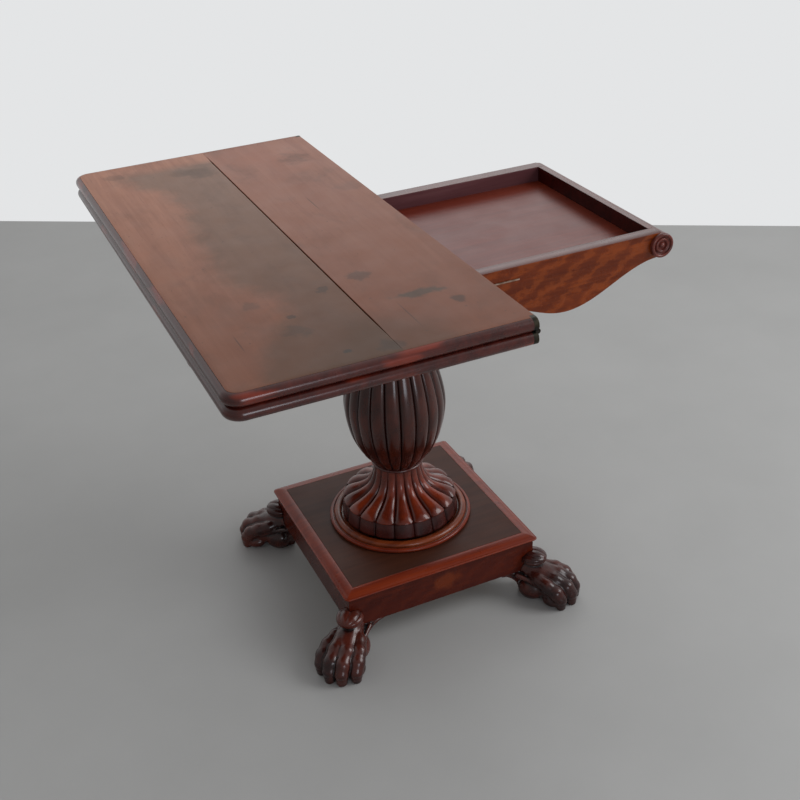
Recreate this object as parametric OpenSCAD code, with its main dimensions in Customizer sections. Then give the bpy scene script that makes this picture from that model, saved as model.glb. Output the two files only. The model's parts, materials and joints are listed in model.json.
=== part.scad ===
// Swivel-top, fold-over pedestal card table with a frieze well and four paw feet.
// Millimetres, +Z up, X along the frieze box, -Y towards the decorated apron.
// The origin is on the floor, under the axis of the pedestal.
// The top is drawn turned a quarter turn off the box, with its two leaves folded shut.

/* [Top] */
// Length of a leaf, along its hinge edge
top_len = 930; // [900:5:960]
// Width of a leaf, from its hinge edge to its bead
top_wid = 442; // [432:2:450]
// Thickness of one leaf
leaf_th = 20; // [18:1:22]
// Height of the upper leaf's surface above the floor
top_height = 720; // [710:2:760]
// Width of the bullnose edging around three sides of a leaf
edging_w = 16; // [14:1:18]
// Radius of a leaf's two outer corners
corner_r = 26; // [22:1:34]
// Width of the upper leaf's board beside the edging
wide_board_w = 228; // [200:2:260]
// Shrinkage gap between the upper leaf's two boards
board_gap = 1.6; // [0.8:0.2:3]

/* [Frieze box] */
// Length of the box between the outer faces of its end rails
box_len = 782; // [772:2:792]
// How far the middle of the box lies off the pedestal's axis
box_mid_x = 12.5; // [8:0.5:15]
// Width of the box over the apron and the back rail
box_wid = 400; // [380:2:404]
// Thickness of the apron and the back rail
side_wall = 24; // [20:1:28]
// Thickness of an end rail
end_wall = 10; // [9:0.5:14]
// Depth of the well below the rim
well_depth = 27; // [22:1:40]
// Depth of the back rail and the end rails
rail_depth = 46; // [44:1:52]
// Depth of the apron at its two lobes
apron_lobe_depth = 100.5; // [90:0.5:110]
// Depth of the apron at its middle
apron_middle_depth = 71; // [66:1:80]
// Distance of an apron lobe from the middle
lobe_x = 211.5; // [204:0.5:222]
// Radius of the half-round bolster on each end
bolster_r = 20.5; // [18:0.5:21]
// Radius of the turned roundel on each end of the apron
roundel_r = 21; // [19:0.5:21]
// How far a roundel stands out of the apron
roundel_th = 8; // [5:0.5:12]

/* [Pedestal] */
// Half the width of the plinth's sides
plinth_half = 182; // [176:1:190]
// Height of the plinth's underside above the floor
plinth_bottom = 57; // [54:1:60]
// Height of the plinth's top surface above the floor
plinth_top = 131; // [125:1:136]
// Overhang of the plinth's edge moulding
plinth_lip = 7; // [5:1:10]
// Outer radius of the ring that the column stands on
ring_r = 132; // [126:1:138]
// Greatest radius of the vase
vase_r = 91; // [84:1:96]

/* [Swivel] */
// Radius of the pivot stud
stud_r = 6; // [5:0.5:8]
// Radial clearance of the stud in its bush
stud_clearance = 0.05; // [0.02:0.01:0.1]
// Gap between the box rim and the lower leaf
rim_gap = 0.5; // [0.4:0.1:1]

/* [Hidden] */
$fn = 64;
leaf_gap = 0.5;
hinge_relief = 0.2;
// The turned top's hinge edge and its middle
hinge_x = 30;
top_mid_y = 22;
bead_x = hinge_x - top_wid;
near_y = top_mid_y - top_len / 2;
far_y = top_mid_y + top_len / 2;
leaf_edge_x = hinge_x - hinge_relief;
// Closed over the box, the top is centred on it, which fixes the pivot
pivot_x = (box_mid_x + top_mid_y + hinge_x - top_wid / 2) / 2;
pivot_y = (box_mid_x + top_mid_y - hinge_x + top_wid / 2) / 2;

upper_z = top_height - leaf_th;
lower_z = upper_z - leaf_gap - leaf_th;
hinge_z = upper_z - leaf_gap / 2;
rim_z = lower_z - rim_gap;
panel_x = bead_x + edging_w;

half_box = box_len / 2;
box_y = box_wid / 2;
half_well = half_box - end_wall;
well_left = box_mid_x - half_well;
well_right = box_mid_x + half_well;
inner_y = box_y - side_wall;
floor_th = 12;
well_floor_z = rim_z - well_depth;
floor_bottom_z = well_floor_z - floor_th;
bolster_drop = 0.5;
bolster_z = rim_z - roundel_r - bolster_drop;
apron_end_depth = 43;
apron_flat_x = 91.5;
fillet_half = 124.5;
fillet_drop = 20;
fillet_size = 2.4;
divider_x = -30;
divider_th = 16;
deck_th = 14;
deck_drop = 7;
deck_z = rim_z - deck_drop - deck_th;
runner_w = 16;
divider_drop = 2;

bush_r = 9;
bush_flange_r = 14;
bush_flange_th = 2;
plate_r = 32;
plate_th = 3;
washer_r = 14;
washer_th = 1.5;
nut_r = 10;
nut_th = 7;
running_gap = 0.1;
access_r = 15;
peg_r = 6;
peg_orbit = 50;
peg_root = 10;
peg_play = 0.5;
stop_len = 20;
stop_wid = 12;
stop_h = deck_drop - 0.5;

head_th = 40;
head_z = floor_bottom_z - head_th;
head_len = 190;
head_wid = 180;
head_tenon_r = 25;
head_tenon_len = 36;
head_screw_inset = 18;
bearer_wid = 42;
bearer_th = 28;

rail_th = 22;
lip_h = 9.5;
panel_th = 14;
rail_top = plinth_top - panel_th;
bottom_board_th = 14;
corner_block = 36;
core_block = 130;
moulding_w = 22;
foot_screw_x = 140;
foot_screw_z = 46;
foot_screw_len = 40;
toe_pitch = 21;
toe_setback = 13;
toe_r = 12.5;
toe_tip_u = 333;
knuckle_u = 326;
heel_u = 250;
bud_u = 258;
bud_z = 82;
bud_radii = [27, 24.5, 14.5];
ring_h = 15;
drum_r = 109;
drum_top_r = 103.3;
drum_top_z = plinth_top + 44;
neck_z = 246;
neck_r = 43.5;
neck_ring_r = 48;
neck_ring_h = 6;
vase_neck_r = 41;
cap_z = 562;
cap_r = 64;
cap_edge_h = 5;
collar_r = 6;
collar_x = 48;
tenon_r = 22;

screw_r = 2;
screw_head_r = 4;
screw_head_h = 2.2;

barrel_r = 4;
pin_r = 1.9;
pin_clearance = 0.05;
pin_len = 25;
hinge_plate_len = 50;
hinge_plate_h = 16;
hinge_plate_th = 3;
hinge_cap_w = 8;
hinge_screw_y = [35, 44];
// The hinge's three knuckles: two on the lower leaf, with the upper leaf's between them
knuckle_y = 4;
lower_knuckle_len = 8;
upper_knuckle_len = 8.6;
knuckle_gap = 0.2;
upper_knuckle_y = knuckle_y + lower_knuckle_len + knuckle_gap;
second_knuckle_y = upper_knuckle_y + upper_knuckle_len + knuckle_gap;
lower_screw_z = upper_z - leaf_gap - hinge_plate_h / 2;
upper_screw_z = upper_z + hinge_plate_h / 2;

wood = [0.36, 0.16, 0.09];
dark_wood = [0.24, 0.11, 0.09];
top_wood = [0.5, 0.33, 0.26];
inner_wood = [0.55, 0.4, 0.27];
brass = [0.66, 0.52, 0.28];
iron = [0.25, 0.25, 0.26];

// Which node to draw

// ---------- shared shapes ----------

// A box from one corner to the opposite one
module block(low, high) {
    translate(low) cube(high - low);
}

// A point on a smooth curve through four guide values
function smooth(a, b, c, d, t) =
    b + (c - a) * t / 2 + (2 * a - 5 * b + 4 * c - d) * t * t / 2
    + (3 * b - a - 3 * c + d) * t * t * t / 2;

// Points on a smooth curve through the guide points
function smooth_curve(guides, steps) = [
    for (i = [0 : len(guides) - 2], k = [0 : steps - 1])
        let (a = guides[max(i - 1, 0)], b = guides[i], c = guides[i + 1])
        let (d = guides[min(i + 2, len(guides) - 1)])
        smooth(a, b, c, d, k / steps)
];

// A countersunk wood screw, its head at the origin and its point up +Z
module wood_screw(length) {
    cylinder(r1 = screw_head_r, r2 = screw_r, h = screw_head_h);
    translate([0, 0, screw_head_h]) cylinder(r = screw_r, h = length - screw_head_h);
}

// ---------- feet ----------

// One toe, fanned out from the instep: -1.5 and 1.5 are the side toes, set back
module toe(side) {
    fan = side * toe_pitch;
    setback = (abs(side) - 0.5) * toe_setback;
    hull() {
        translate([286 - setback / 2, fan * 0.8, 45]) sphere(r = toe_r, $fn = 20);
        translate([knuckle_u - setback, fan, 34]) sphere(r = toe_r + 0.5, $fn = 20);
        translate([toe_tip_u - setback, fan, toe_r - 1]) sphere(r = toe_r, $fn = 20);
    }
}

// The paw from its heel to its toes, pointing along +X
module paw() {
    for (side = [-1.5, -0.5, 0.5, 1.5]) toe(side);
    hull() {
        translate([264, 0, 54]) sphere(r = 19, $fn = 24);
        for (side = [-1, 1]) {
            translate([heel_u, side * 14, 14]) sphere(r = 16, $fn = 24);
            translate([298, side * 16, 25]) sphere(r = 18, $fn = 24);
        }
    }
}

// The rounded bud between the paw and the corner of the plinth, on its short neck
module bud() {
    translate([bud_u, 0, bud_z]) scale(bud_radii) sphere(r = 1, $fn = 28);
    translate([bud_u, 0, plinth_bottom]) cylinder(r = 15, h = bud_z - plinth_bottom, $fn = 24);
}

// Outline of the bracket that runs from the paw along one side of the plinth
module wing_outline() {
    polygon([[120, plinth_bottom], [120, plinth_bottom - 4], [136, 46], [150, 36], [158, 22],
        [162, 0], [plinth_half, 0], [plinth_half, plinth_bottom]]);
}

// The bracket under the side of the plinth that faces +Y
module wing() {
    translate([0, plinth_half, 0]) rotate([90, 0, 0]) linear_extrude(rail_th) wing_outline();
}

module foot_screw_places() {
    for (turned = [false, true])
        mirror([turned ? 1 : 0, turned ? -1 : 0, 0])
            translate([foot_screw_x, plinth_half - rail_th / 2, foot_screw_z]) children();
}

// One foot at the corner towards +X +Y
module corner_foot() {
    reach = 2 * plinth_half;
    difference() {
        union() {
            rotate([0, 0, 45]) {
                paw();
                bud();
            }
            wing();
            mirror([1, -1, 0]) wing();
        }
        block([0, 0, plinth_bottom], [plinth_half, plinth_half, plinth_top]);
        block([0, 0, -plinth_bottom], [reach, reach, 0]);
        foot_screw_places() wood_screw(foot_screw_len);
        foot_screw_places() mirror([0, 0, 1]) cylinder(r = screw_head_r, h = foot_screw_z / 2);
    }
}

module foot_front_left() color(dark_wood) rotate([0, 0, 180]) corner_foot();
module foot_front_right() color(dark_wood) rotate([0, 0, -90]) corner_foot();
module foot_rear_left() color(dark_wood) rotate([0, 0, 90]) corner_foot();
module foot_rear_right() color(dark_wood) corner_foot();

module all_foot_screws() {
    for (turn = [0 : 90 : 270])
        rotate([0, 0, turn]) foot_screw_places() wood_screw(foot_screw_len);
}

module foot_screws() color(iron) all_foot_screws();

// ---------- plinth ----------

module plinth_bottom_board() {
    half = plinth_half - rail_th;
    color(inner_wood)
        block([-half, -half, plinth_bottom], [half, half, plinth_bottom + bottom_board_th]);
}

// A rail that runs the full width, with the short rails between the pair
module long_plinth_rail() {
    difference() {
        block([-plinth_half, plinth_half - rail_th, plinth_bottom],
            [plinth_half, plinth_half, rail_top]);
        all_foot_screws();
    }
}

module short_plinth_rail() {
    half = plinth_half - rail_th;
    difference() {
        block([half, -half, plinth_bottom], [plinth_half, half, rail_top]);
        all_foot_screws();
    }
}

module plinth_rail_front() color(wood) rotate([0, 0, 180]) long_plinth_rail();
module plinth_rail_back() color(wood) long_plinth_rail();
module plinth_rail_left() color(wood) rotate([0, 0, 180]) short_plinth_rail();
module plinth_rail_right() color(wood) short_plinth_rail();

module plinth_corner_blocks() {
    half = plinth_half - rail_th;
    color(inner_wood)
        for (turn = [0 : 90 : 270])
            rotate([0, 0, turn])
                block([half - corner_block, half - corner_block, plinth_bottom + bottom_board_th],
                    [half, half, rail_top]);
}

module plinth_core_block() {
    half = core_block / 2;
    color(inner_wood) difference() {
        block([-half, -half, plinth_bottom + bottom_board_th], [half, half, rail_top]);
        cylinder(r = tenon_r, h = plinth_top);
    }
}

module plinth_top_panel() {
    half = plinth_half + plinth_lip - moulding_w;
    color(dark_wood) difference() {
        block([-half, -half, rail_top], [half, half, plinth_top]);
        cylinder(r = tenon_r, h = plinth_top + 1);
    }
}

// Section of the thumb moulding, measured outwards from the top panel
module moulding_section() {
    nose_r = 1.5;
    inset = moulding_w - plinth_lip;
    low = plinth_top - lip_h;
    polygon([[0, rail_top], [inset, rail_top], [inset, low], [moulding_w - nose_r, low],
        [moulding_w - nose_r, low + 2 * nose_r], [14, plinth_top - 3.2],
        [6, plinth_top - 0.4], [3, plinth_top], [0, plinth_top]]);
    translate([moulding_w - nose_r, low + nose_r]) circle(r = nose_r);
}

module plinth_edge_moulding() {
    half = plinth_half + plinth_lip - moulding_w;
    outer = half + moulding_w;
    color(wood)
        for (turn = [0 : 90 : 270])
            rotate([0, 0, turn]) intersection() {
                translate([0, half, 0]) rotate([90, 0, 90])
                    linear_extrude(2 * outer, center = true) moulding_section();
                linear_extrude(plinth_top)
                    polygon([[-half, half], [half, half], [outer, outer], [-outer, outer]]);
            }
}

// ---------- column ----------

// A ring turned with a low outer bead and a taller inner torus
module column_ring() {
    torus_r = ring_h / 2 - 0.5;
    bead_r = 4;
    torus_x = ring_r - torus_r - 2 * bead_r - 1;
    color(wood) translate([0, 0, plinth_top]) difference() {
        rotate_extrude() {
            square([torus_x, ring_h]);
            translate([torus_x, ring_h - torus_r]) circle(r = torus_r);
            square([ring_r - bead_r, 2 * bead_r]);
            translate([ring_r - bead_r, bead_r]) circle(r = bead_r);
        }
        cylinder(r = tenon_r, h = 3 * ring_h, center = true);
    }
}

// The spreading foot, its outline taken over the crowns of its lobes
module column_foot() {
    low = plinth_top + ring_h;
    crowns = [[drum_top_r, drum_top_z], [102, drum_top_z + 6], [90, drum_top_z + 12],
        [74, drum_top_z + 18], [60, drum_top_z + 27], [50, drum_top_z + 41],
        [45, drum_top_z + 57], [neck_r, neck_z]];
    color(dark_wood) difference() {
        rotate_extrude()
            polygon(concat([[0, low], [drum_r, low]],
                smooth_curve(crowns, 4), [[neck_r, neck_z], [0, neck_z]]));
        cylinder(r = tenon_r, h = neck_z + 1);
    }
}

module column_neck_ring() {
    bead_r = neck_ring_h / 2;
    color(dark_wood) translate([0, 0, neck_z]) difference() {
        rotate_extrude() {
            square([neck_ring_r - bead_r, neck_ring_h]);
            translate([neck_ring_r - bead_r, bead_r]) circle(r = bead_r);
        }
        cylinder(r = tenon_r, h = neck_ring_h * 3, center = true);
    }
}

// The vase over the crowns of its lobes, with the long tenon below it
module column_vase() {
    low = neck_z + neck_ring_h;
    crowns = [[neck_ring_r - 2, low], [68, 282], [83, 318], [vase_r, 366], [87, 408], [74, 456],
        [57, 505], [45, 540], [vase_neck_r, cap_z]];
    color(dark_wood) {
        rotate_extrude()
            polygon(concat([[0, low]], smooth_curve(crowns, 5),
                [[vase_neck_r, cap_z], [0, cap_z]]));
        translate([0, 0, plinth_bottom + bottom_board_th])
            cylinder(r = tenon_r, h = low - plinth_bottom - bottom_board_th + 1);
    }
}

// The collar and flared cap, turned in one with the tenon for the head block
module column_cap() {
    throat_z = cap_z + 2 * collar_r;
    edge_z = head_z - cap_edge_h;
    flare = [[45, throat_z], [50, throat_z + 10], [cap_r, edge_z]];
    tenon_top = head_z + head_tenon_len;
    color(dark_wood) rotate_extrude() {
        polygon(concat([[0, cap_z], [collar_x, cap_z], [collar_x, throat_z]],
            smooth_curve(flare, 5), [[cap_r, edge_z], [cap_r, head_z], [head_tenon_r, head_z],
            [head_tenon_r, tenon_top], [0, tenon_top]]));
        translate([collar_x, cap_z + collar_r]) circle(r = collar_r);
    }
}

module head_block() {
    color(inner_wood) difference() {
        block([-head_len / 2, -head_wid / 2, head_z], [head_len / 2, head_wid / 2, floor_bottom_z]);
        cylinder(r = head_tenon_r, h = rim_z);
        all_head_block_screws();
    }
}

// Four long screws that hold the box floor down on the head block
module all_head_block_screws() {
    x = head_len / 2 - head_screw_inset;
    y = head_wid / 2 - head_screw_inset;
    for (side = [-1, 1], end = [-1, 1])
        translate([side * x, end * y, head_z]) wood_screw(head_th + floor_th - 3);
}

module head_block_screws() color(iron) all_head_block_screws();

// A bearer across the underside of the box, beside the head block
module bearer() {
    block([head_len / 2, -inner_y, floor_bottom_z - bearer_th],
        [head_len / 2 + bearer_wid, inner_y, floor_bottom_z]);
}

module bearer_left() color(inner_wood) mirror([1, 0, 0]) bearer();
module bearer_right() color(inner_wood) bearer();

// ---------- frieze box ----------

// Depth of the apron at a distance from its middle: a half wave on each side of the lobe
function apron_depth(x) =
    let (a = abs(x))
    a > lobe_x
        ? apron_lobe_depth - (apron_lobe_depth - apron_end_depth)
            * (1 - cos(180 * (a - lobe_x) / (half_box - lobe_x))) / 2
        : apron_middle_depth + (apron_lobe_depth - apron_middle_depth)
            * (1 - cos(180 * max(a - apron_flat_x, 0) / (lobe_x - apron_flat_x))) / 2;

module front_apron() {
    steps = 72;
    lower_edge = [
        for (i = [0 : steps])
            let (x = half_box * (2 * i / steps - 1))
            [x, rim_z - apron_depth(x)]
    ];
    color(wood)
        translate([box_mid_x, -inner_y, 0]) rotate([90, 0, 0]) linear_extrude(side_wall)
            polygon(concat(lower_edge, [[half_box, rim_z], [-half_box, rim_z]]));
}

// A thin straight bead across the middle of the apron
module apron_fillet() {
    top = rim_z - fillet_drop;
    color(brass)
        block([box_mid_x - fillet_half, -box_y - fillet_size, top - fillet_size],
            [box_mid_x + fillet_half, -box_y, top]);
}

module back_rail() {
    color(wood)
        block([box_mid_x - half_box, inner_y, rim_z - rail_depth],
            [box_mid_x + half_box, box_y, rim_z]);
}

// Places a shape at the right end of the box, or mirrored at the left end
module at_box_end(left) {
    translate([box_mid_x, 0, 0]) mirror([left ? 1 : 0, 0, 0]) children();
}

module end_rail() {
    block([half_well, -inner_y, rim_z - rail_depth], [half_box, inner_y, rim_z]);
}

module end_rail_left() color(wood) at_box_end(true) end_rail();
module end_rail_right() color(wood) at_box_end(false) end_rail();

// The half-round moulding along one end of the box
module bolster() {
    translate([half_box, box_y, bolster_z]) rotate([90, 0, 0]) linear_extrude(box_wid)
        intersection() {
            circle(r = bolster_r);
            translate([0, -bolster_r]) square([bolster_r, 2 * bolster_r]);
        }
}

module bolster_left() color(wood) at_box_end(true) bolster();
module bolster_right() color(wood) at_box_end(false) bolster();

// A turned boss: an outer ring, an inner ring and a button
module roundel() {
    outer_bead = 2.4;
    inner_bead = 2;
    button_r = 4;
    base_th = roundel_th - outer_bead - 0.6;
    translate([half_box, -box_y, bolster_z]) rotate([90, 0, 0]) {
        cylinder(r = roundel_r, h = base_th);
        translate([0, 0, base_th]) {
            rotate_extrude() translate([roundel_r - outer_bead, 0]) circle(r = outer_bead);
            rotate_extrude() translate([roundel_r / 2, 0]) circle(r = inner_bead);
            translate([0, 0, roundel_th - base_th - button_r]) sphere(r = button_r);
        }
    }
}

module roundel_left() color(dark_wood) at_box_end(true) roundel();
module roundel_right() color(dark_wood) at_box_end(false) roundel();

module well_floor() {
    color(wood) difference() {
        block([well_left, -inner_y, floor_bottom_z], [well_right, inner_y, well_floor_z]);
        translate([pivot_x, pivot_y, 0]) cylinder(r = access_r, h = rim_z);
        all_head_block_screws();
    }
}

module well_divider() {
    color(wood)
        block([divider_x, -inner_y, well_floor_z],
            [divider_x + divider_th, inner_y, rim_z - divider_drop]);
}

// The board under the swivel, beside the well
module deck_board() {
    color(inner_wood) difference() {
        block([well_left, -inner_y, deck_z], [divider_x, inner_y, deck_z + deck_th]);
        translate([pivot_x, pivot_y, 0]) cylinder(r = bush_r, h = rim_z);
    }
}

module deck_runners() {
    color(inner_wood)
        for (side = [0, 1])
            mirror([0, side, 0])
                block([well_left, inner_y - runner_w, well_floor_z], [divider_x, inner_y, deck_z]);
}

// ---------- swivel ----------

module pivot_bush() {
    color(brass) translate([pivot_x, pivot_y, deck_z]) difference() {
        union() {
            cylinder(r = bush_r, h = deck_th);
            translate([0, 0, deck_th]) cylinder(r = bush_flange_r, h = bush_flange_th);
        }
        cylinder(r = stud_r + stud_clearance, h = 3 * deck_th, center = true);
    }
}

module pivot_stud() {
    stud_bottom = deck_z - running_gap - washer_th - nut_th - 2;
    color(iron) translate([pivot_x, pivot_y, 0]) difference() {
        union() {
            translate([0, 0, stud_bottom]) cylinder(r = stud_r, h = lower_z - stud_bottom);
            translate([0, 0, lower_z]) cylinder(r = plate_r, h = plate_th);
        }
        translate([-pivot_x, -pivot_y, 0]) all_pivot_plate_screws();
    }
}

module pivot_washer() {
    color(iron) translate([pivot_x, pivot_y, deck_z - running_gap - washer_th]) difference() {
        cylinder(r = washer_r, h = washer_th);
        cylinder(r = stud_r, h = 3 * washer_th, center = true);
    }
}

module pivot_nut() {
    color(iron) translate([pivot_x, pivot_y, deck_z - running_gap - washer_th - nut_th])
        difference() {
            cylinder(r = nut_r, h = nut_th, $fn = 6);
            cylinder(r = stud_r, h = 3 * nut_th, center = true);
        }
}

module all_pivot_plate_screws() {
    for (turn = [45 : 90 : 315])
        translate([pivot_x, pivot_y, lower_z]) rotate([0, 0, turn])
            translate([plate_r - 9, 0, 0]) wood_screw(15);
}

module pivot_plate_screws() color(iron) all_pivot_plate_screws();

// The peg under the lower leaf, and the two blocks that stop it a quarter turn apart
module stop_peg() {
    bottom = deck_z + deck_th + 1.5;
    color(wood) translate([pivot_x - peg_orbit, pivot_y, bottom])
        cylinder(r = peg_r, h = lower_z + peg_root - bottom);
}

module stop_blocks() {
    reach = peg_r + peg_play;
    low = deck_z + deck_th;
    color(wood) translate([pivot_x, pivot_y, 0]) {
        translate([-peg_orbit - stop_len / 2, reach, low]) cube([stop_len, stop_wid, stop_h]);
        translate([reach, -peg_orbit - stop_len / 2, low]) cube([stop_wid, stop_len, stop_h]);
    }
}

// ---------- leaves ----------

// Section of the edging: square where it joins the panel, half-round outside
module edging_section() {
    nose_r = leaf_th / 2;
    square([edging_w - nose_r, leaf_th]);
    translate([edging_w - nose_r, nose_r]) circle(r = nose_r);
}

// A straight run of edging along -Y, its nose towards +X
module edging_run(length) {
    rotate([90, 0, 0]) linear_extrude(length) edging_section();
}

// What is trimmed off a leaf's square corner to round it in plan, at the near end
module corner_trim() {
    translate([bead_x, 0, 0]) linear_extrude(top_height + 1) difference() {
        square(corner_r);
        translate([corner_r, corner_r]) circle(r = corner_r);
    }
}

// The edging along the bead side, mitred at both ends
module edging_long(z) {
    difference() {
        intersection() {
            translate([panel_x, near_y, z]) rotate([0, 0, 180]) edging_run(top_len);
            linear_extrude(top_height + 1)
                polygon([[bead_x, near_y], [panel_x, near_y + edging_w],
                    [panel_x, far_y - edging_w], [bead_x, far_y]]);
        }
        at_end(false) corner_trim();
        at_end(true) corner_trim();
    }
}

// The edging along one end, from its mitre to the hinge's cap
module edging_end(far, z) {
    cap_x = leaf_edge_x - hinge_cap_w;
    at_end(far) difference() {
        intersection() {
            translate([cap_x, edging_w, z]) rotate([0, 0, -90]) edging_run(cap_x - bead_x);
            linear_extrude(top_height + 1)
                polygon([[bead_x, 0], [cap_x, 0], [cap_x, edging_w], [panel_x, edging_w]]);
        }
        corner_trim();
    }
}

// The flat part of a leaf inside its edging
module leaf_panel(z) {
    block([panel_x, near_y + edging_w, z], [leaf_edge_x, far_y - edging_w, z + leaf_th]);
}

// Everything let into the leaves along the hinge edge
module leaf_hardware() {
    for (far = [false, true]) {
        hinge_plate_solid(far, lower_z, false);
        hinge_plate_solid(far, upper_z, true);
        at_end(far) barrel(knuckle_y - 2, knuckle_y + pin_len + 1, barrel_r + 0.5);
    }
    all_hinge_screws(lower_screw_z);
    all_hinge_screws(upper_screw_z);
}

module lower_panel() {
    color(top_wood) difference() {
        leaf_panel(lower_z);
        leaf_hardware();
        translate([pivot_x, pivot_y, lower_z - 1]) cylinder(r = plate_r, h = plate_th + 1);
        all_pivot_plate_screws();
        translate([pivot_x - peg_orbit, pivot_y, lower_z - 1]) cylinder(r = peg_r, h = peg_root + 1);
    }
}

module upper_board_wide() {
    color(top_wood) intersection() {
        leaf_panel(upper_z);
        block([panel_x, near_y, upper_z], [panel_x + wide_board_w, far_y, top_height]);
    }
}

module upper_board_narrow() {
    color(top_wood) difference() {
        intersection() {
            leaf_panel(upper_z);
            block([panel_x + wide_board_w + board_gap, near_y, upper_z],
                [hinge_x, far_y, top_height]);
        }
        leaf_hardware();
    }
}

module lower_edging_long() color(dark_wood) edging_long(lower_z);
module lower_edging_near() color(dark_wood) edging_end(false, lower_z);
module lower_edging_far() color(dark_wood) edging_end(true, lower_z);
module upper_edging_long() color(dark_wood) edging_long(upper_z);
module upper_edging_near() color(dark_wood) edging_end(false, upper_z);
module upper_edging_far() color(dark_wood) edging_end(true, upper_z);

// ---------- hinges ----------

// Places a shape at the near end, or mirrored at the far end, with Y measured inwards
module at_end(far) {
    if (far) translate([0, far_y, 0]) mirror([0, 1, 0]) children();
    else translate([0, near_y, 0]) children();
}

// A length of hinge barrel between two distances from the leaf's end
module barrel(from, to, radius) {
    translate([hinge_x, from, hinge_z]) rotate([-90, 0, 0]) cylinder(r = radius, h = to - from);
}

// The strap let into the hinge edge, with its cap over the end of the edging
module hinge_plate_solid(far, z, upper) {
    strap_z = upper ? z : z + leaf_th - hinge_plate_h;
    at_end(far) {
        translate([leaf_edge_x, edging_w, z]) rotate([0, 0, -90]) edging_run(hinge_cap_w);
        block([leaf_edge_x - hinge_plate_th, edging_w, strap_z],
            [leaf_edge_x, hinge_plate_len, strap_z + hinge_plate_h]);
    }
}

module lower_barrels(radius, relief) {
    for (from = [knuckle_y, second_knuckle_y])
        barrel(from - relief, from + lower_knuckle_len + relief, radius);
}

module upper_barrel(radius, relief) {
    barrel(upper_knuckle_y - relief, upper_knuckle_y + upper_knuckle_len + relief, radius);
}

module hinge_plate_lower(far) {
    color(brass) difference() {
        union() {
            hinge_plate_solid(far, lower_z, false);
            at_end(far) lower_barrels(barrel_r, 0);
        }
        at_end(far) {
            upper_barrel(barrel_r + 0.3, 0.1);
            barrel(knuckle_y, knuckle_y + pin_len + 1, pin_r);
        }
        all_hinge_screws(lower_screw_z);
    }
}

module hinge_plate_upper(far) {
    color(brass) difference() {
        union() {
            hinge_plate_solid(far, upper_z, true);
            at_end(far) upper_barrel(barrel_r, 0);
        }
        at_end(far) {
            lower_barrels(barrel_r + 0.3, 0.1);
            barrel(knuckle_y - 1, knuckle_y + pin_len + 1, pin_r + pin_clearance);
        }
        all_hinge_screws(upper_screw_z);
    }
}

module hinge_plate_lower_near() hinge_plate_lower(false);
module hinge_plate_lower_far() hinge_plate_lower(true);
module hinge_plate_upper_near() hinge_plate_upper(false);
module hinge_plate_upper_far() hinge_plate_upper(true);

module hinge_pins() {
    color(iron)
        for (far = [false, true]) at_end(far) barrel(knuckle_y, knuckle_y + pin_len, pin_r);
}

module all_hinge_screws(z) {
    for (far = [false, true], y = hinge_screw_y)
        at_end(far) translate([leaf_edge_x, y, z]) rotate([0, -90, 0]) scale(0.8) wood_screw(22);
}

module hinge_screws_lower() color(brass) all_hinge_screws(lower_screw_z);
module hinge_screws_upper() color(brass) all_hinge_screws(upper_screw_z);

foot_front_left();
foot_front_right();
foot_rear_left();
foot_rear_right();
foot_screws();
plinth_bottom_board();
plinth_rail_front();
plinth_rail_back();
plinth_rail_left();
plinth_rail_right();
plinth_corner_blocks();
plinth_core_block();
plinth_top_panel();
plinth_edge_moulding();
column_ring();
column_foot();
column_neck_ring();
column_vase();
column_cap();
head_block();
head_block_screws();
bearer_left();
bearer_right();
front_apron();
apron_fillet();
back_rail();
end_rail_left();
end_rail_right();
bolster_left();
bolster_right();
roundel_left();
roundel_right();
well_floor();
well_divider();
deck_board();
deck_runners();
pivot_bush();
stop_blocks();
pivot_stud();
pivot_washer();
pivot_nut();
pivot_plate_screws();
stop_peg();
lower_panel();
lower_edging_long();
lower_edging_near();
lower_edging_far();
hinge_plate_lower_near();
hinge_plate_lower_far();
hinge_pins();
hinge_screws_lower();
upper_board_wide();
upper_board_narrow();
upper_edging_long();
upper_edging_near();
upper_edging_far();
hinge_plate_upper_near();
hinge_plate_upper_far();
hinge_screws_upper();
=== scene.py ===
"""A pedestal card table: a folding double-leaf top that swivels over a frieze box, on a lobed column,
a square plinth and four carved paw feet. Everything is in metres, +Z up, X along the frieze box."""
import json
import math

import bmesh
import bpy
import numpy as np
from mathutils import Matrix, Vector


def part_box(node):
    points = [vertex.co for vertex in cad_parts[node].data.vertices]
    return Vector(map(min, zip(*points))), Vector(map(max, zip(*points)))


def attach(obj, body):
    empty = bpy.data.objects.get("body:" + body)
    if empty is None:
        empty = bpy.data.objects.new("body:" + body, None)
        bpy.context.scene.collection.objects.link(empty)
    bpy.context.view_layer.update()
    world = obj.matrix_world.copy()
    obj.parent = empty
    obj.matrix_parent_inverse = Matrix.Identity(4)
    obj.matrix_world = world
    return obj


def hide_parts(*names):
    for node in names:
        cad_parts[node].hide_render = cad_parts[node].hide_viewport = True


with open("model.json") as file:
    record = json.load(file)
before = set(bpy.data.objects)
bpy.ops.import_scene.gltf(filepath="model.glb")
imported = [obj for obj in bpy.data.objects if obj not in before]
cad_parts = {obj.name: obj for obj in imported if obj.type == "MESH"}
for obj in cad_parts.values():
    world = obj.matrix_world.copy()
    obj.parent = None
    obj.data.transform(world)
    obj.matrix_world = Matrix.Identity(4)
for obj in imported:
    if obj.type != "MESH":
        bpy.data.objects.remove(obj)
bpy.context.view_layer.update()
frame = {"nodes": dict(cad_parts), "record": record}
MM = 0.001


# ------------------------ camera, lights and floor

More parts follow.
